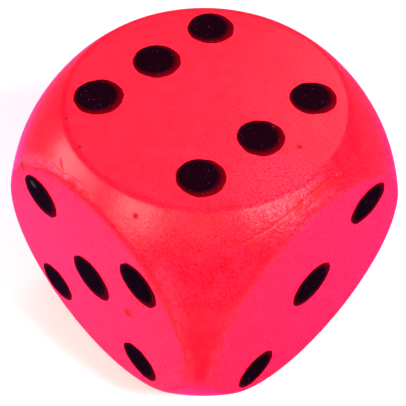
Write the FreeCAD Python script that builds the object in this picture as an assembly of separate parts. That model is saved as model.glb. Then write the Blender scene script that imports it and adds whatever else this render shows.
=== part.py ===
import FreeCAD, Part
import os

# Giant soft playing die, in millimetres. The origin is the middle of the base, on the flat that the
# die stands on, and +Z is up. The one is down, the six is up, the five faces -Y and the three faces +X.

# Driving dimensions
EDGE = 160.0  # between two opposite flats
ROUNDING = 1.33  # radius of the ball that rounds the cube, as a multiple of half the edge
RIM_FILLET = 3.0  # where a flat meets the round shoulder
SKIN = 1.2  # thickness of the elastomer skin
PAINT = 0.3  # depth of a painted pip, which lies flush in the skin

# Where the pips lie on a face, from its middle
COLUMN_GAP = 36.6
ROW_GAP = 38.2
MIDDLE_RISE = 3.9  # the big middle pips of the five and the three sit this much high

# Radii of the pips
BACK_ROW_RADIUS = 11.4
FRONT_ROW_RADIUS = 10.7
CORNER_RADIUS = 11.9
MIDDLE_RADIUS = 13.1

# The moulded nub on the five, from that face's middle
NUB_ACROSS = 27.5
NUB_UP = 3.0
NUB_RADIUS = 2.2
NUB_HEIGHT = 1.0

SAME = 0.01  # lengths that differ by less than this are equal
HALF = EDGE / 2
MIDDLE = FreeCAD.Vector(0, 0, HALF)
X = FreeCAD.Vector(1, 0, 0)
Y = FreeCAD.Vector(0, 1, 0)
Z = FreeCAD.Vector(0, 0, 1)

# Each face's outward normal, and the directions across it and up it
FACES = {
    "one": (-Z, X, -Y),
    "two": (Y, -X, Z),
    "three": (X, Y, Z),
    "four": (-X, -Y, Z),
    "five": (-Y, X, Z),
    "six": (Z, X, Y),
}

# The column and the row of each pip
CORNERS = [(-1, -1), (1, -1), (-1, 1), (1, 1)]
PATTERNS = {
    "one": [(0, 0)],
    "two": [(-1, 1), (1, -1)],
    "three": [(-1, -1), (0, 0), (1, 1)],
    "four": CORNERS,
    "five": CORNERS + [(0, 0)],
    "six": [(-1, -1), (-1, 0), (-1, 1), (1, -1), (1, 0), (1, 1)],
}

# Pips that were painted over a millimetre off their place: face, pip number, across and up
SLIPS = {
    ("three", 1): (-1.0, -0.4),
    ("three", 3): (0.0, 1.0),
    ("five", 2): (-2.2, 0.5),
    ("five", 4): (0.8, 0.0),
    ("five", 5): (-1.1, -0.5),
    ("six", 4): (-1.3, 0.4),
    ("six", 6): (-1.0, 0.0),
}


def rounded_cube(inset):
    """A cube cut by a ball, with every rim eased, set in from the outside by inset."""
    half = HALF - inset
    corner = MIDDLE - FreeCAD.Vector(half, half, half)
    cube = Part.makeBox(2 * half, 2 * half, 2 * half, corner)
    ball = Part.makeSphere(ROUNDING * HALF - inset, MIDDLE)
    block = cube.common(ball)
    rims = [e for e in block.Edges if is_rim(e, half)]
    return block.makeFillet(RIM_FILLET - inset, rims)


def is_rim(edge, half):
    """Whether an edge is part of the circle round a flat."""
    if not isinstance(edge.Curve, Part.Circle):
        return False
    to_flat = edge.Curve.Center - MIDDLE
    return abs(to_flat.Length - half) < SAME


def pip_radius(face, column, row):
    """Radius of the pip at this column and row of a face."""
    if (column, row) == (0, 0):
        return MIDDLE_RADIUS
    if face != "six":
        return CORNER_RADIUS
    return FRONT_ROW_RADIUS if column > 0 else BACK_ROW_RADIUS


def pip(face, number, column, row):
    """One painted pip: a thin disc whose outside lies flush in the face."""
    normal, across, up = FACES[face]
    slip_across, slip_up = SLIPS.get((face, number), (0.0, 0.0))
    is_high = face in ("three", "five") and (column, row) == (0, 0)
    rise = MIDDLE_RISE if is_high else 0.0
    place = MIDDLE + normal * HALF
    place += across * (column * COLUMN_GAP + slip_across)
    place += up * (row * ROW_GAP + slip_up + rise)
    return Part.makeCylinder(pip_radius(face, column, row), PAINT, place, -normal)


def all_pips():
    """Every pip by its node name, such as pip_five_2."""
    pips = {}
    for face, pattern in PATTERNS.items():
        for number, (column, row) in enumerate(pattern, start=1):
            pips[f"pip_{face}_{number}"] = pip(face, number, column, row)
    return pips


def nub():
    """The moulded nub: the cap of a ball that stands out of the five, rooted in the skin."""
    normal, across, up = FACES["five"]
    ball_radius = (NUB_RADIUS**2 + NUB_HEIGHT**2) / (2 * NUB_HEIGHT)
    foot = MIDDLE + normal * HALF + across * NUB_ACROSS + up * NUB_UP
    ball = Part.makeSphere(ball_radius, foot + normal * (NUB_HEIGHT - ball_radius))
    stem = Part.makeCylinder(NUB_RADIUS, SKIN / 2 + NUB_HEIGHT, foot - normal * SKIN / 2, normal)
    return stem.common(ball)


def skin(core, pips):
    """The elastomer skin: closed all round the core, with a shallow seat for each pip."""
    shell = rounded_cube(0).cut(core)
    for disc in pips.values():
        shell = shell.cut(disc)
    return shell.fuse(nub()).removeSplitter()


def main():
    """Builds every piece and writes each one to its own STEP file."""
    os.makedirs("parts", exist_ok=True)
    core = rounded_cube(SKIN)
    pips = all_pips()
    nodes = {"foam_core": core, "skin": skin(core, pips), **pips}
    for name, shape in nodes.items():
        solid = shape.Solids[0]
        assert len(shape.Solids) == 1 and solid.isValid(), name
        solid.exportStep(f"parts/{name}.step")
        print(f"{name}: {solid.Volume / 1000:.2f} cm3")


main()
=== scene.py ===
import logging
import math
from dataclasses import dataclass
from enum import Enum

import bpy
import numpy as np
from mathutils import Matrix, Vector


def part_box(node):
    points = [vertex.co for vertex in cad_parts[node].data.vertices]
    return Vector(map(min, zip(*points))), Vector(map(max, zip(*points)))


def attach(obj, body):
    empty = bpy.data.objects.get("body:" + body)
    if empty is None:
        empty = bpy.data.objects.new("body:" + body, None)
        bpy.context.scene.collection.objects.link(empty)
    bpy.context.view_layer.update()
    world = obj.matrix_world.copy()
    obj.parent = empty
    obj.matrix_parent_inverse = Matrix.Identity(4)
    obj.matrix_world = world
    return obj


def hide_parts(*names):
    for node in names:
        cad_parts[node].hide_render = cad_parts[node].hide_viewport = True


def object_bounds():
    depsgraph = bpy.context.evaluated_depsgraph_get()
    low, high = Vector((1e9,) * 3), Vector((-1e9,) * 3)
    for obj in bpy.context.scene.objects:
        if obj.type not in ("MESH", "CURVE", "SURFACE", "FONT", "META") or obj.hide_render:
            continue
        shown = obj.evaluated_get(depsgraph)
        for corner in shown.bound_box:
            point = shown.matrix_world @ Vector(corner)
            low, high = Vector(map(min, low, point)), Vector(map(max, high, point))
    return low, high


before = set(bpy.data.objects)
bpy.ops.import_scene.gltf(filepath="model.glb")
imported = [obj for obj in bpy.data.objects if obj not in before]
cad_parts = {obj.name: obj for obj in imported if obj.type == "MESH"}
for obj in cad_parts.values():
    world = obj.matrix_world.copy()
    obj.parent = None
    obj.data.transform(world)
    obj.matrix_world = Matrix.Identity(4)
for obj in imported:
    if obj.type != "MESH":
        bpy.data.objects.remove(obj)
cad_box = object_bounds()

BODY = "root"
MM = 0.001
HALF = (cad_box[1].z - cad_box[0].z) / 2
MIDDLE = np.array([0.0, 0.0, HALF])
BALL = 1.33 * HALF  # the ball that rounds the cube
RIM_FILLET = 6.0 * MM
SKIN_THICKNESS = 1.2 * MM
NUB_PLACE = (27.5, -80.0, 3.0)  # on the five, in millimetres from the die's middle
log = logging.getLogger("die")


class Face(Enum):
    """The six flats: outward normal, the direction across, and the direction up."""

    ONE = ((0, 0, -1), (1, 0, 0), (0, -1, 0))
    TWO = ((0, 1, 0), (-1, 0, 0), (0, 0, 1))
    THREE = ((1, 0, 0), (0, 1, 0), (0, 0, 1))
    FOUR = ((-1, 0, 0), (0, -1, 0), (0, 0, 1))
    FIVE = ((0, -1, 0), (1, 0, 0), (0, 0, 1))
    SIX = ((0, 0, 1), (1, 0, 0), (0, 1, 0))

    def axes(self) -> np.ndarray:
        """Rows: across, up and out, as unit vectors."""
        out, across, up = (np.array(v, dtype=float) for v in self.value)
        return np.stack([across, up, out])

    def wiped(self) -> np.ndarray:
        """Which way the pips' paint thins out: across and up."""
        return np.array([1.0, 0.2]) if self is Face.SIX else np.array([0.4, -0.4])


# ---------------------------------------------------------------- shader maths


class Wire:
    """An output socket in a material. Python's operators on it add Math nodes."""

    def __init__(self, bench: "Bench", socket: bpy.types.NodeSocket) -> None:
        """Keeps the socket and the bench that it belongs to."""
        self.bench = bench
        self.socket = socket

    def math(self, operation: str, *others: "Wire | float") -> "Wire":
        """Adds a Math node on this socket and the others, in order."""
        inputs = dict(enumerate((self, *others)))
        return self.bench.node("ShaderNodeMath", {"operation": operation}, inputs)

    def __add__(self, other: "Wire | float") -> "Wire":
        """The sum."""
        return self.math("ADD", other)

    def __sub__(self, other: "Wire | float") -> "Wire":
        """The difference."""
        return self.math("SUBTRACT", other)

    def __mul__(self, other: "Wire | float") -> "Wire":
        """The product."""
        return self.math("MULTIPLY", other)

    def __rsub__(self, other: float) -> "Wire":
        """A number less this."""
        inputs = {0: other, 1: self}
        return self.bench.node("ShaderNodeMath", {"operation": "SUBTRACT"}, inputs)

    __radd__ = __add__
    __rmul__ = __mul__

    def step(self, start: float, end: float) -> "Wire":
        """A smooth step from 0 at start to 1 at end."""
        inputs = {"Value": self, "From Min": start, "From Max": end}
        settings = {"interpolation_type": "SMOOTHSTEP"}
        return self.bench.node("ShaderNodeMapRange", settings, inputs)


class Bench:
    """The node tree of a material or a room, and the one method that adds a node to it."""

    def __init__(self, owner: bpy.types.Material | bpy.types.World) -> None:
        """Clears the owner's node tree.

        Args:
            owner: what the nodes are for.
        """
        owner.use_nodes = True
        self.owner = owner
        self.tree = owner.node_tree
        self.tree.nodes.clear()

    def node(self, kind: str, settings: dict, inputs: dict, output: str | int = 0) -> Wire:
        """Adds a node.

        Args:
            kind: the node's type.
            settings: its properties, set before its sockets.
            inputs: values or wires by socket name or number.
            output: the output socket to return.

        Returns:
            The wire of that output.
        """
        made = self.tree.nodes.new(kind)
        for key, value in settings.items():
            setattr(made, key, value)
        for key, value in inputs.items():
            if isinstance(value, Wire):
                self.tree.links.new(value.socket, made.inputs[key])
            else:
                made.inputs[key].default_value = value
        return Wire(self, made.outputs[output])

    def place(self) -> Wire:
        """The point on the piece, in object coordinates."""
        return self.node("ShaderNodeTexCoord", {}, {}, "Object")

    def part(self, vector: Wire, axis: str) -> Wire:
        """The X, Y or Z part of a vector."""
        return self.node("ShaderNodeSeparateXYZ", {}, {"Vector": vector}, axis)

    def vector(self, operation: str, first: Wire, second: Wire | np.ndarray, output: str) -> Wire:
        """Adds a Vector Math node on two vectors, and returns the named output."""
        return self.node("ShaderNodeVectorMath", {"operation": operation}, {0: first, 1: second}, output)

    def spot(self, where: Wire, centre: tuple, radius: float) -> Wire:
        """A round spot with a soft edge.

        Args:
            where: the coordinates.
            centre: its place from the die's middle, in millimetres.
            radius: where it has faded out, in metres.

        Returns:
            1 at its centre and 0 outside it.
        """
        away = self.vector("DISTANCE", where, MIDDLE + np.array(centre) * MM, "Value")
        return 1 - away.step(radius * 0.3, radius)

    def attribute(self, name: str) -> Wire:
        """A number stored on the piece's mesh."""
        return self.node("ShaderNodeAttribute", {"attribute_name": name}, {}, "Fac")

    def noise(self, where: Wire, size: float, detail: float = 2.0, rough: float = 0.5) -> Wire:
        """Cloudy noise from 0 to 1.

        Args:
            where: the coordinates.
            size: the width of one cloud in metres.
            detail: octaves of finer noise.
            rough: the share that each octave adds.

        Returns:
            The noise.
        """
        inputs = {"Vector": where, "Scale": 1 / size, "Detail": detail, "Roughness": rough}
        return self.node("ShaderNodeTexNoise", {}, inputs)

    def mix(self, share: Wire | float, first: tuple | Wire, second: tuple | Wire) -> Wire:
        """Blends two colours, share of the second."""
        settings = {"data_type": "RGBA"}
        return self.node("ShaderNodeMix", settings, {0: share, 6: first, 7: second}, 2)

    def bump(self, height: Wire) -> Wire:
        """A bumped normal, from a height in millimetres."""
        return self.node("ShaderNodeBump", {}, {"Height": height, "Strength": 1.0, "Distance": MM})

    def finish(self, shader: str, output: str, inputs: dict) -> bpy.types.Material | bpy.types.World:
        """Adds the shader and the output.

        Args:
            shader: the shader's node type.
            output: the output's node type.
            inputs: the shader's socket values or wires.

        Returns:
            The finished material or world.
        """
        surface = self.node(shader, {}, inputs)
        end = self.tree.nodes.new(output)
        self.tree.links.new(surface.socket, end.inputs["Surface"])
        return self.owner

    def coat(self, inputs: dict) -> bpy.types.Material:
        """Finishes a material with the Principled shader."""
        return self.finish("ShaderNodeBsdfPrincipled", "ShaderNodeOutputMaterial", inputs)


# -------------------------------------------------------------------- finishes


@dataclass(frozen=True)
class SkinMarks:
    """How strongly each mark shows at a point of the skin, from 0 to 1."""

    grain: Wire
    lump: Wire
    fleck: Wire
    ridge: Wire
    furrow: Wire
    line: Wire
    blotch_and_shade: Wire
    pit: Wire
    sheen_patch: Wire


@dataclass(frozen=True)
class SkinFinish:
    """Soft red elastomer: a moulded grain and mould line, creased rims, scratches, blotches and pits,
    with painted shade in the grooves, the pits and round the nub, and painted highlights on the ridges
    and in a sheen patch.

    The places of the marks are in millimetres from the die's middle.
    """

    red: tuple = (1.0, 0.0004, 0.0085, 1.0)
    pale_red: tuple = (1.0, 0.006, 0.025, 1.0)
    # deep red: the blotches' own colour, and painted shade in the furrows, the mould line, the dark
    # scratch and round the nub
    deep_red: tuple = (0.42, 0.0, 0.008, 1.0)
    # painted shade in the small pits
    pit_shade_red: tuple = (0.2, 0.0, 0.006, 1.0)
    # painted highlight on the ridges and pale scratches, and painted sheen in the sheen patch
    highlight_red: tuple = (1.0, 0.03, 0.08, 1.0)
    roughness: float = 0.29
    sleek: float = 0.14  # how much smoother the lower corners are, where nothing rubs them
    specular: float = 0.14
    grain: float = 1.0 * MM
    grain_height: tuple = (0.05, 0.16)  # millimetres, at the four and at the three
    lump: float = 7 * MM
    lump_height: float = 0.14  # millimetres, as are the heights and depths of the marks below
    sheen_patch_height: float = 0.1
    wrinkle_height: float = 0.6
    ridge_height: float = 0.3
    furrow_depth: float = 0.25
    line_depth: float = 0.2
    grain_gloss: float = 1.7  # how much the grain's height varies the roughness
    pit_dull: float = 0.4
    blotch_dull: float = 0.12
    line_x: float = 74.0
    line_bend: float = 0.006  # how fast the mould line curves in, per millimetre
    line_bend_y: float = -14.0  # where it starts to curve
    line_reach: tuple = (-50.0, 30.0)
    pits: tuple = (
        (-36, -59, 80),
        (-17, -66, 80),
        (28, -71, 74),
        (62, -33, 80),
        (53, 9, 80),
        (-52, -79, 50),
        (55, -80, -17),
        (-63, 44, 80),
    )
    pit_radius: float = 2.0 * MM
    # painted sheen: the patch's grain is painted paler, and its bump is higher
    sheen_patch: tuple = (66, -12, 80)
    sheen_patch_radius: float = 32 * MM
    wrinkled: tuple = (72, -20, 76)
    wrinkled_radius: float = 16 * MM
    scratch_edge: tuple = (0.2 * MM, 0.9 * MM)  # where a scratch starts to fade, and has gone
    # scratches painted paler: painted highlight along the ridge line above the five
    pale_scratches: tuple = (
        ((-45, -79, 55), (-30, -79, 65)),
        ((-30, -79, 65), (-10, -77, 73)),
        ((-10, -77, 73), (-1, -77, 73)),
    )
    # painted shade along this dark scratch's groove
    dark_scratch: tuple = ((-22, -74, 73), (-16, -77, 71))
    blotches: tuple = (
        (74, 16, 75),
        (74, 5, 76),
        (75, -3, 75),
        (74, -14, 75),
        (71, -40, 68),
        (-51, -80, 49),
        (-8, -79, 71),
        (1, -79, 71),
    )
    blotch_radius: float = 5 * MM
    # the spot of painted shade round the raised nub
    nub_shade_radius: float = 3.5 * MM
    ridge_reach: float = 2.1  # how far out from a flat's middle, as RoundedCube counts it
    furrow_reach: float = 1.5

    def mould_line(self, bench: Bench, where: Wire) -> Wire:
        """A hairline along the shoulder above the three.

        It lies where x is line_x less line_bend times the square of how far y is past
        line_bend_y, on the upper half, and it fades out at both ends.
        """
        x, y, z = (bench.part(where, axis) * (1 / MM) for axis in "XYZ")
        past = (self.line_bend_y - y).math("MAXIMUM", 0.0)
        offset = (x - self.line_x + self.line_bend * past * past).math("ABSOLUTE")
        first, last = self.line_reach
        ends = y.step(first, first + 15) * (1 - y.step(last - 15, last))
        above = (z - HALF / MM).step(60, 66)
        return (1 - offset.step(0.15, 0.8)) * ends * above

    def scratch(self, bench: Bench, where: Wire, start: tuple, end: tuple) -> Wire:
        """A thin straight scratch.

        The share along it is (where - start) . line / line squared, kept between 0 and 1, and the
        nearest place on it is start plus that share of the line.

        Args:
            bench: the material's bench.
            where: the coordinates.
            start: one end, in millimetres from the die's middle.
            end: the other end.

        Returns:
            1 on the scratch and 0 beyond its width.
        """
        first = MIDDLE + np.array(start) * MM
        line = (np.array(end) - np.array(start)) * MM
        offset = bench.vector("SUBTRACT", where, first, "Vector")
        share = bench.vector("DOT_PRODUCT", offset, line / (line @ line), "Value")
        share = share.math("MAXIMUM", 0.0).math("MINIMUM", 1.0)
        nearest = bench.vector("MULTIPLY", share, line, "Vector")
        away = bench.vector("DISTANCE", offset, nearest, "Value")
        return 1 - away.step(*self.scratch_edge)

    def crease(self, bench: Bench, where: Wire) -> Wire:
        """How creased a rim is: fully at the top left of the five, in faint patches at the sides."""
        x, y, z = (bench.part(where, axis) * (1 / MM) for axis in "XYZ")
        corner = (1 - y.step(-78, -72)) * (z - HALF / MM).step(25, 45) * (1 - x.step(-5, 12))
        patchy = bench.noise(where, 30 * MM, 2.0).step(0.5, 0.62) * (1 - (z - HALF / MM).step(72, 77))
        return (corner + patchy * 0.3).math("MINIMUM", 1.0)

    def marks(self, bench: Bench, where: Wire) -> SkinMarks:
        """Works out every mark.

        A ridge and a furrow are bands at a set reach, so they follow a flat's rim. A noise breaks
        them up, and the line and the blotches too.

        Args:
            bench: the material's bench.
            where: the coordinates.

        Returns:
            The marks.
        """
        fleck = bench.noise(where, 2.5 * MM, 3.0, 0.6)
        reach = bench.attribute("reach") + (fleck - 0.5) * 0.8
        crease = self.crease(bench, where)
        ridge = (1 - (reach - self.ridge_reach).math("ABSOLUTE").step(0.1, 0.5)) * crease
        ridge = ridge * fleck.step(0.38, 0.55)
        ridge = ridge + 0.6 * sum(self.scratch(bench, where, *ends) for ends in self.pale_scratches)
        furrow = (1 - (reach - self.furrow_reach).math("ABSOLUTE").step(0.2, 0.7)) * crease
        furrow = furrow * fleck.step(0.48, 0.56)
        line = self.mould_line(bench, where) + self.scratch(bench, where, *self.dark_scratch)
        line = line * fleck.step(0.3, 0.5)
        # The blotches alone here; the furrows, the mould line and the nub join them below as painted
        # shade.
        blotch_and_shade = sum(bench.spot(where, place, self.blotch_radius) for place in self.blotches)
        nub = bench.spot(where, NUB_PLACE, self.nub_shade_radius)
        return SkinMarks(
            grain=bench.noise(where, self.grain, 2.5, 0.6),
            lump=bench.noise(where, self.lump, 3.0),
            fleck=fleck,
            ridge=ridge.math("MINIMUM", 1.0),
            furrow=furrow,
            line=line,
            # blotches, plus painted shade in the furrows, the mould line's groove and round the nub
            blotch_and_shade=blotch_and_shade * fleck.step(0.35, 0.47) * 1.3 + furrow + line * 0.7 + nub,
            pit=sum(bench.spot(where, place, self.pit_radius) for place in self.pits),
            sheen_patch=bench.spot(where, self.sheen_patch, self.sheen_patch_radius),
        )

    def colour(self, bench: Bench, marks: SkinMarks) -> Wire:
        """The skin's red: paler on the grain; painted highlights on the ridges and pale scratches and
        painted sheen in the sheen patch; deeper red in the blotches, with painted shade in the furrows,
        the mould line, the dark scratch, round the nub and in the pits.
        """
        pale = (marks.grain * 0.65 + marks.lump * 0.35).step(0.36, 0.64)
        colour = bench.mix(pale, self.red, self.pale_red)
        # Painted highlight on the ridges and pale scratches, and painted sheen on the sheen patch's
        # grain.
        painted_highlight = marks.ridge * 0.9 + marks.sheen_patch * marks.grain.step(0.42, 0.6) * 0.4
        colour = bench.mix(painted_highlight, colour, self.highlight_red)
        # Deeper red: the blotches' own colour, and painted shade in the furrows, the mould line, the
        # dark scratch and round the nub.
        colour = bench.mix((marks.blotch_and_shade * 0.8).math("MINIMUM", 1.0), colour, self.deep_red)
        # Painted shade in the pits, which have no depth of their own.
        return bench.mix(marks.pit.math("MINIMUM", 1.0), colour, self.pit_shade_red)

    def make(self) -> bpy.types.Material:
        """Builds the material."""
        bench = Bench(bpy.data.materials.new("red_elastomer"))
        where = bench.place()
        marks = self.marks(bench, where)
        fine, coarse = self.grain_height
        coarser = bench.part(where, "X").step(-0.4 * HALF, 0.7 * HALF)
        grain_height = coarser * (coarse - fine) + marks.sheen_patch * self.sheen_patch_height + fine
        wrinkled = bench.spot(where, self.wrinkled, self.wrinkled_radius) * marks.fleck
        height = marks.grain * grain_height + marks.lump * self.lump_height
        height = height + wrinkled * self.wrinkle_height + marks.ridge * self.ridge_height
        height = height - marks.furrow * self.furrow_depth - marks.line * self.line_depth
        low = 1 - bench.part(where, "Z").step(1.2 * HALF, 1.7 * HALF)
        sleek = self.sleek * low * bench.attribute("reach").step(1.6, 2.4)
        dull = marks.pit * self.pit_dull + marks.blotch_and_shade * self.blotch_dull
        uneven = grain_height * self.grain_gloss * (marks.grain - 0.5)
        return bench.coat({
            "Base Color": self.colour(bench, marks),
            "Roughness": self.roughness + uneven - sleek + dull,
            "Specular IOR Level": self.specular,
            "Normal": bench.bump(height),
        })


@dataclass(frozen=True)
class PipFinish:
    """Black paint that thins to a dark red towards its edge, a lighter black on the top pips as painted
    light, with painted glints and one painted gloss reflection.
    """

    # painted light: the same paint, lighter on the top and darker on the sides
    top_lit_black: tuple = (0.005, 0.0003, 0.002, 1.0)
    side_shaded_black: tuple = (0.002, 0.0004, 0.001, 1.0)
    thin_red: tuple = (0.1, 0.0, 0.003, 1.0)
    # painted glint: a bright speck standing in for the paint's sparkle
    painted_glint: tuple = (0.14, 0.08, 0.1, 1.0)
    # painted reflection: a grey gloss spot at one end of a pip on the five
    gloss_reflection: tuple = (0.022, 0.024, 0.027, 1.0)
    gloss_reflection_place: tuple = (-41.6, -80, 43.6)  # millimetres from the die's middle
    gloss_reflection_radius: float = 3.2 * MM
    roughness: float = 0.3
    specular: float = 0.001

    def make(self) -> bpy.types.Material:
        """Builds the material."""
        bench = Bench(bpy.data.materials.new("black_pip_paint"))
        where = bench.place()
        grain = bench.noise(where, 1.3 * MM, 2.5, 0.6)
        ragged = (bench.noise(where, 2.5 * MM, 3.0) - 0.5) * 0.1
        thin = (bench.attribute("thin") + ragged).step(0.0, 1.0)
        # Painted glints: bright specks where the noise peaks.
        painted_glints = bench.noise(where, 0.9 * MM, 1.0).step(0.71, 0.8)
        # Painted light: the pips on the top get a lighter black than the pips on the sides.
        on_top = bench.part(where, "Z").step(1.7 * HALF, 1.9 * HALF)
        black = bench.mix(on_top, self.side_shaded_black, self.top_lit_black)
        colour = bench.mix(thin, black, self.thin_red)
        colour = bench.mix(painted_glints, colour, self.painted_glint)
        # Painted reflection: the grey gloss spot.
        colour = bench.mix(bench.spot(where, self.gloss_reflection_place, self.gloss_reflection_radius), colour, self.gloss_reflection)
        edge = bench.attribute("edge") + ragged * 0.4
        return bench.coat({
            "Base Color": colour,
            "Roughness": self.roughness + 0.2 * (grain - 0.5),
            "Specular IOR Level": self.specular,
            "Alpha": 1 - edge.step(0.955, 1.0),
            "Normal": bench.bump(grain * 0.1),
        })


@dataclass(frozen=True)
class FoamFinish:
    """Pale cream polyurethane foam with open cells."""

    cream: tuple = (0.72, 0.62, 0.42, 1.0)
    shade: tuple = (0.42, 0.33, 0.19, 1.0)

    def make(self) -> bpy.types.Material:
        """Builds the material."""
        bench = Bench(bpy.data.materials.new("cream_foam"))
        where = bench.place()
        settings = {"feature": "SMOOTH_F1"}
        cell = bench.node("ShaderNodeTexVoronoi", settings, {"Vector": where, "Scale": 1 / (1.6 * MM)})
        cloud = bench.noise(where, 20 * MM, 3.0)
        # Darker towards each cell's middle: painted shade in the open cells' hollows; the clouds vary
        # the tone at random.
        colour = bench.mix(cell.step(0.2, 0.7) * 0.5 + cloud * 0.3, self.shade, self.cream)
        normal = bench.bump(cell * 0.8)
        return bench.coat({"Base Color": colour, "Roughness": 0.9 - 0.1 * cloud, "Normal": normal})


# ---------------------------------------------------------------------- meshes


def make_piece(name: str, points: np.ndarray, *faces: np.ndarray) -> bpy.types.Object:
    """Makes a smooth-shaded mesh piece at the origin.

    Args:
        name: the piece's name.
        points: its vertices, one row each.
        faces: arrays of vertex numbers, one row for each face.

    Returns:
        The new object.
    """
    mesh = bpy.data.meshes.new(name)
    mesh.from_pydata(points, [], [row for array in faces for row in array.tolist()])
    mesh.shade_smooth()
    piece = bpy.data.objects.new(name, mesh)
    bpy.context.scene.collection.objects.link(piece)
    return piece


def store(piece: bpy.types.Object, name: str, values: np.ndarray) -> None:
    """Stores one number for each vertex of a piece."""
    layer = piece.data.attributes.new(name, "FLOAT", "POINT")
    layer.data.foreach_set("value", values.astype(np.float32))


@dataclass
class RoundedCube:
    """A cube cut by a ball, with every rim eased, as six grids that share their outer edges."""

    half: float
    ball: float
    fillet: float
    cells: int
    stations: tuple

    def grid(self) -> tuple[np.ndarray, np.ndarray]:
        """The bearing of each grid point about its face's axis, and how many loops out it is.

        The grid's loops are squares in (u, v), and each quarter of a loop is shared out evenly
        in angle, so that a loop of the flat is a circle.

        Returns:
            The bearings and the loops' shares from 0 to 1, both cells + 1 square.
        """
        side = np.linspace(-1, 1, self.cells + 1)
        u, v = np.meshgrid(side, side, indexing="ij")
        wide = np.abs(u) >= np.abs(v)
        safe_u = np.where(u == 0, 1, u)
        safe_v = np.where(v == 0, 1, v)
        bearing = np.where(
            wide,
            np.pi / 4 * v / safe_u + np.where(u < 0, np.pi, 0),
            np.pi / 2 - np.pi / 4 * u / safe_v + np.where(v < 0, np.pi, 0),
        )
        return bearing, np.maximum(np.abs(u), np.abs(v))

    def profile(self, reach: np.ndarray, bearing: np.ndarray) -> tuple:
        """The section through a face's axis: flat, then fillet, then ball.

        Reach runs from 0 to 1 over the flat, to 2 over the fillet, and to 3 over the ball as far as
        the cube's edge, where the ball's tilt is the angle whose tangent is 1 over the larger of
        the bearing's cosine and sine.

        Args:
            reach: how far out each point is.
            bearing: its bearing about the axis.

        Returns:
            The distance from the axis, the height along it, and the tilt of the normal.
        """
        flat_end = math.sqrt((self.ball - self.fillet) ** 2 - (self.half - self.fillet) ** 2)
        rim_tilt = math.atan2(flat_end, self.half - self.fillet)
        edge_tilt = np.arctan(1 / np.maximum(np.abs(np.cos(bearing)), np.abs(np.sin(bearing))))
        bend = np.clip(reach - 1, 0, 1) * rim_tilt
        slope = np.clip(reach - 2, 0, 1)
        tilt = bend + slope * (edge_tilt - rim_tilt)
        on_ball = slope > 0
        flat = np.clip(reach, 0, 1) * flat_end
        distance = np.where(on_ball, self.ball * np.sin(tilt), flat + self.fillet * np.sin(tilt))
        height = np.where(
            on_ball,
            self.ball * np.cos(tilt),
            self.half - self.fillet + self.fillet * np.cos(tilt),
        )
        return distance, height, tilt

    def surface(self) -> tuple:
        """All six grids joined.

        Returns:
            Points and outward normals about the middle, the reach of each point, and the quads.
        """
        bearing, share = self.grid()
        reach = np.interp(share, *zip(*self.stations))
        distance, height, tilt = self.profile(reach, bearing)
        ring = np.stack([np.cos(bearing), np.sin(bearing)], axis=-1)
        local = np.concatenate([ring * distance[..., None], height[..., None]], axis=-1)
        lean = np.concatenate([ring * np.sin(tilt)[..., None], np.cos(tilt)[..., None]], axis=-1)
        across = self.cells + 1
        corner = (np.arange(self.cells)[:, None] * across + np.arange(self.cells)).ravel()
        quad = corner[:, None] + np.array([0, across, across + 1, 1])
        axes = [face.axes() for face in Face]
        points = np.concatenate([local.reshape(-1, 3) @ a for a in axes])
        normals = np.concatenate([lean.reshape(-1, 3) @ a for a in axes])
        quads = np.concatenate([quad + i * across**2 for i in range(len(axes))])
        reaches = np.tile(reach.ravel(), len(axes))
        _, first, merged = np.unique(
            np.round(points / MM, 4), axis=0, return_index=True, return_inverse=True
        )
        return points[first], normals[first], reaches[first], merged.ravel()[quads]


# --------------------------------------------------------------------- the die


@dataclass
class FoamCore:
    """The solid foam block inside the skin."""

    cells: int = 48
    gap: float = 0.05 * MM  # keeps the core's surface off the skin's inner wall
    dent: float = 0.25 * MM
    dent_size: float = 6 * MM

    def build(self) -> bpy.types.Object:
        """Makes the core, dented inwards by the sine of its place along three skew directions.

        Returns:
            The core's object.
        """
        inset = SKIN_THICKNESS + self.gap
        stations = ((0, 0), (0.55, 1), (0.7, 2), (1, 3))
        block = RoundedCube(HALF - inset, BALL - inset, RIM_FILLET - inset, self.cells, stations)
        points, normals, _, quads = block.surface()
        skew = np.array([[1.0, 0.6, 0.3], [-0.4, 1.0, 0.7], [0.5, -0.3, 1.0]])
        waves = np.sin(points @ skew.T * 2 * np.pi / self.dent_size)
        depth = self.dent * (0.5 + waves.prod(axis=1) / 2)
        piece = make_piece("foam_block", points - normals * depth[:, None] + MIDDLE, quads)
        piece.data.materials.append(FoamFinish().make())
        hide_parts("foam_core")
        return piece


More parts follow.
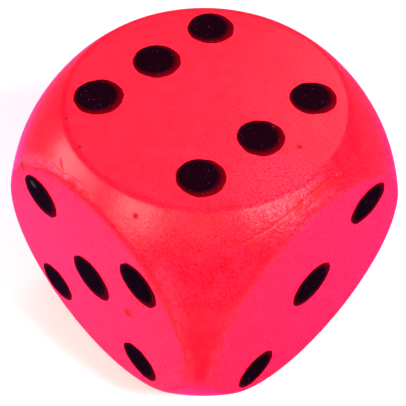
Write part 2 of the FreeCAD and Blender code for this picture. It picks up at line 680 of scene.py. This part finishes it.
@dataclass
class Skin:
    """The elastomer skin: outer surface with the nub and slight unevenness, and a plain inner wall."""

    cells: int = 120
    inner_cells: int = 32
    seed: int = 7
    uneven: float = 0.1 * MM
    uneven_size: float = 45 * MM
    nub_radius: float = 2.4 * MM
    nub_height: float = 1.4 * MM

    def unevenness(self, points: np.ndarray) -> np.ndarray:
        """Gentle waves: a mean of sines along random directions, at random phases."""
        draw = np.random.default_rng(self.seed)
        waves = 9
        directions = draw.normal(size=(3, waves))
        directions /= np.linalg.norm(directions, axis=0)
        lengths = self.uneven_size * draw.uniform(0.6, 1.6, waves)
        phases = draw.uniform(0, 2 * np.pi, waves)
        return self.uneven * np.sin(2 * np.pi * points @ directions / lengths + phases).mean(axis=1)

    def nub(self, points: np.ndarray) -> np.ndarray:
        """A dome: the height of a ball's cap over the nub's round foot."""
        away = np.linalg.norm(points - np.array(NUB_PLACE) * MM, axis=1) / self.nub_radius
        return self.nub_height * np.sqrt(np.clip(1 - away**2, 0, 1))

    def build(self) -> bpy.types.Object:
        """Makes the skin.

        Returns:
            The skin's object.
        """
        stations = ((0, 0), (0.23, 0.36), (0.43, 0.44), (0.63, 1), (0.73, 2), (1, 3))
        outer = RoundedCube(HALF, BALL, RIM_FILLET, self.cells, stations)
        points, normals, reach, quads = outer.surface()
        inset = SKIN_THICKNESS
        stations = ((0, 0), (0.55, 1), (0.7, 2), (1, 3))
        inner = RoundedCube(HALF - inset, BALL - inset, RIM_FILLET - inset, self.inner_cells, stations)
        inner_points, _, inner_reach, inner_quads = inner.surface()
        lift = self.unevenness(points) - self.uneven + self.nub(points)
        shell = np.concatenate([points + normals * lift[:, None], inner_points])
        faces = np.concatenate([quads, inner_quads[:, ::-1] + len(points)])
        piece = make_piece("red_skin", shell + MIDDLE, faces)
        store(piece, "reach", np.concatenate([reach, inner_reach]))
        piece.data.materials.append(SkinFinish().make())
        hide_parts("skin")
        return piece


@dataclass
class Pip:
    """One painted pip: a thin film with a ragged outline, rooted in the skin."""

    node: str
    face: Face
    rings: int = 14
    spokes: int = 96
    proud: float = 0.10 * MM
    lip: float = 0.02 * MM  # the film's height at its very edge
    taper: float = 0.15  # how far in from the edge the film thins out, in radii
    root: float = 0.12 * MM
    spread: float = 1.1  # the ragged edge reaches past the solid black
    ragged: float = 0.012
    solid: float = 0.7  # how far the paint is thick, in radii
    slip: float = 0.12  # how far the solid black sits off the outline's middle, in radii

    def build(self, finish: bpy.types.Material) -> bpy.types.Object:
        """Makes the pip: rings of a disc that thins out towards its edge, over a flat underside.

        The outline's radius is a circle's plus a few sine waves round it, and the film's height is
        a smooth step of the distance in from the outline.

        Args:
            finish: the paint.

        Returns:
            The pip's object.
        """
        low, high = (np.array(corner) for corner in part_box(self.node))
        axes = self.face.axes()
        centre = (low + high) / 2 - MIDDLE
        centre += axes[2] * (HALF - centre @ axes[2])
        radius = self.spread * np.abs((high - low) @ axes[0]) / 2
        draw = np.random.default_rng(sum(map(ord, self.node)))
        angle = np.linspace(0, 2 * np.pi, self.spokes, endpoint=False)
        turns = np.arange(2, 12)
        size = self.ragged * draw.normal(size=turns.size) / np.sqrt(turns)
        phase = draw.uniform(0, 2 * np.pi, turns.size)
        outline = radius * (1 + size @ np.sin(turns[:, None] * angle + phase[:, None]))
        out = np.linspace(1 / self.rings, 1, self.rings)[:, None] ** 0.8
        thin = np.clip((1 - out) / self.taper, 0, 1)
        height = self.proud * thin * thin * (3 - 2 * thin) + self.lip
        top = self.ring(out * outline, height, angle)
        foot = self.ring(outline[None] * 0.98, np.array([[-self.root]]), angle)
        caps = np.array([[0, 0, self.proud + self.lip], [0, 0, -self.root]])
        local = np.concatenate([caps, top.reshape(-1, 3), foot.reshape(-1, 3)])
        edge = np.concatenate([[0, 1], np.repeat(out.ravel(), self.spokes), np.ones(self.spokes)])
        aside = self.slip * self.face.wiped()
        from_black = np.linalg.norm(local[:, :2] / radius + aside, axis=1)
        name = self.node.replace("pip", "paint")
        piece = make_piece(name, local @ axes + centre + MIDDLE, *self.faces())
        store(piece, "edge", edge)
        store(piece, "thin", (from_black - self.solid) / (self.spread - self.solid))
        piece.data.materials.append(finish)
        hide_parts(self.node)
        return piece

    def ring(self, distance: np.ndarray, height: np.ndarray, angle: np.ndarray) -> np.ndarray:
        """Points at a distance and angle about the pip's axis, and a height along it."""
        parts = np.broadcast_arrays(distance * np.cos(angle), distance * np.sin(angle), height)
        return np.stack(parts, axis=-1)

    def faces(self) -> tuple:
        """The quads between neighbouring rings, and the two fans that close the middle."""
        spoke = np.arange(self.spokes)
        following = (spoke + 1) % self.spokes
        ring = 2 + self.spokes * np.arange(self.rings)[:, None]
        here, after = (ring + spoke).ravel(), (ring + following).ravel()
        sides = np.stack([here, here + self.spokes, after + self.spokes, after], axis=1)
        top = np.stack([np.zeros_like(spoke), 2 + spoke, 2 + following], axis=1)
        last = 2 + self.spokes * self.rings
        bottom = np.stack([np.ones_like(spoke), last + following, last + spoke], axis=1)
        return sides, top, bottom


class PipSet:
    """All the painted pips, one for each pip node of the frame."""

    def build(self) -> list:
        """Makes every pip.

        Returns:
            The pips' objects.
        """
        finish = PipFinish().make()
        nodes = sorted(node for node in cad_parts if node.startswith("pip_"))
        return [Pip(node, Face[node.split("_")[1].upper()]).build(finish) for node in nodes]


# ---------------------------------------------------------------------- studio


@dataclass
class Softbox:
    """A square area light that faces the die."""

    name: str
    azimuth: float  # degrees, 0 in front of the five and 90 in front of the three
    elevation: float
    distance: float
    size: float
    power: float
    colour: tuple

    def place(self) -> None:
        """Adds the light to the scene."""
        data = bpy.data.lights.new(self.name, "AREA")
        data.size, data.energy, data.color = self.size, self.power, self.colour
        light = bpy.data.objects.new(self.name, data)
        outward = direction(self.azimuth, self.elevation)
        light.location = Vector(MIDDLE) + outward * self.distance
        light.rotation_euler = outward.to_track_quat("Z", "Y").to_euler()
        light.visible_camera = False
        bpy.context.scene.collection.objects.link(light)


def direction(azimuth: float, elevation: float) -> Vector:
    """The unit vector towards an azimuth and elevation in degrees."""
    turn, rise = math.radians(azimuth), math.radians(elevation)
    return Vector((math.sin(turn) * math.cos(rise), -math.cos(turn) * math.cos(rise), math.sin(rise)))


@dataclass
class Studio:
    """The pale floor, the softboxes, the room's dim light and the camera."""

    floor_radius: float = 0.9
    floor_sides: int = 96
    floor_albedo: float = 0.74
    above: tuple = (0.25, 0.17, 0.25, 1.0)  # the room's light from above
    low_left: tuple = (1.3, 0.28, 1.5, 1.0)  # the rose glow from below, which the sides mirror
    low_right: tuple = (1.0, 0.08, 1.0, 1.0)
    low_front: tuple = (0.0, 0.0, 0.0, 1.0)
    steep_fade: float = 0.42  # the share of the glow that is lost straight down
    sides_meet: tuple = (-0.2, 0.2)  # x + y of a direction, from all left to all right
    front_dark: tuple = (0.2, 0.6)  # x - y, from none to all of the front's dark
    steep: tuple = (-0.9, -0.77)  # z, from all to none of the fade
    horizon: tuple = (-0.7, -0.25)  # z, from the glow to the light from above
    backdrop: tuple = (1.0, 1.0, 1.0, 1.0)
    azimuth: float = 44.85
    elevation: float = 50.59
    distance: float = 489.5 * MM
    aim: tuple = (0.0, -0.8 * MM, -0.5 * MM)  # from the die's middle
    roll: float = 1.5  # degrees
    lens: float = 77.49  # millimetres, on a 36 mm sensor

    def boxes(self) -> list:
        """The softboxes."""
        return [
            Softbox("back_top", 224, 57, 1.2, 0.8, 3.2, (1.0, 0.76, 1.0)),
            Softbox("overhead", 45, 84, 1.2, 0.6, 1.5, (1.0, 0.85, 1.0)),
            Softbox("back_side", 202, 44, 1.2, 0.3, 1.7, (1.0, 0.9, 1.0)),
            Softbox("left_low", -53, 16, 1.0, 0.3, 3.9, (1.0, 0.95, 1.0)),
            Softbox("left_mid", -38, 25, 1.0, 0.3, 2.8, (1.0, 0.95, 1.0)),
            Softbox("left_up", 0, 36, 1.0, 0.3, 7.5, (1.0, 1.0, 0.9)),
            Softbox("front_up", 42, 42, 1.0, 0.4, 1.9, (1.0, 1.0, 0.5)),
            Softbox("right_up", 98, 45, 1.0, 0.22, 17.0, (1.0, 1.0, 1.0)),
        ]

    def build_floor(self) -> None:
        """A plain pale round floor at the die's base, with a faint tone to it."""
        angle = np.linspace(0, 2 * np.pi, self.floor_sides, endpoint=False)
        rim = self.floor_radius * np.stack([np.cos(angle), np.sin(angle), 0 * angle], axis=1)
        floor = make_piece("floor", rim, np.arange(self.floor_sides)[None])
        bench = Bench(bpy.data.materials.new("pale_floor"))
        tone = bench.noise(bench.place(), 0.4, 2.0) * 0.02 + (self.floor_albedo - 0.01)
        colour = bench.node("ShaderNodeCombineColor", {}, {0: tone, 1: tone, 2: tone})
        floor.data.materials.append(bench.coat({"Base Color": colour, "Roughness": 0.8}))
        floor.visible_glossy = False

    def build_room(self) -> None:
        """The room: dim above, rose at both sides below, dark below the front, plain to the camera."""
        bench = Bench(bpy.data.worlds.new("room"))
        bearing = bench.node("ShaderNodeTexCoord", {}, {}, "Generated")
        x, y, z = (bench.part(bearing, axis) for axis in "XYZ")
        low = bench.mix((x + y).step(*self.sides_meet), self.low_left, self.low_right)
        low = bench.mix((1 - z.step(*self.steep)) * self.steep_fade, low, self.low_front)
        low = bench.mix((x - y).step(*self.front_dark), low, self.low_front)
        lit = bench.mix(z.step(*self.horizon), low, self.above)
        seen = bench.node("ShaderNodeLightPath", {}, {}, "Is Camera Ray")
        colour = bench.mix(seen, lit, self.backdrop)
        world = bench.finish("ShaderNodeBackground", "ShaderNodeOutputWorld", {"Color": colour})
        bpy.context.scene.world = world

    def build_camera(self) -> None:
        """The camera, aimed close to the die's middle and rolled a little."""
        data = bpy.data.cameras.new("camera")
        data.lens, data.sensor_width, data.clip_start = self.lens, 36.0, 0.01
        camera = bpy.data.objects.new("camera", data)
        place = direction(self.azimuth, self.elevation) * self.distance
        back = (place - Vector(self.aim)).normalized()
        level = Vector((0, 0, 1)).cross(back).normalized()
        right = Matrix.Rotation(math.radians(self.roll), 3, back) @ level
        turn = Matrix((right, back.cross(right), back)).transposed().to_4x4()
        camera.matrix_world = Matrix.Translation(place + Vector(MIDDLE)) @ turn
        bpy.context.scene.collection.objects.link(camera)
        bpy.context.scene.camera = camera

    def build(self) -> None:
        """Sets the stage."""
        self.build_floor()
        self.build_room()
        for box in self.boxes():
            box.place()
        self.build_camera()
        bpy.context.scene.view_settings.view_transform = "Standard"


def main() -> None:
    """Builds the die and its studio, and reports each piece."""
    logging.basicConfig(level=logging.INFO, format="%(name)s: %(message)s")
    Studio().build()
    for piece in [FoamCore().build(), Skin().build(), *PipSet().build()]:
        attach(piece, BODY)
        log.info("%s: %d faces", piece.name, len(piece.data.polygons))


if __name__ == "__main__":
    main()
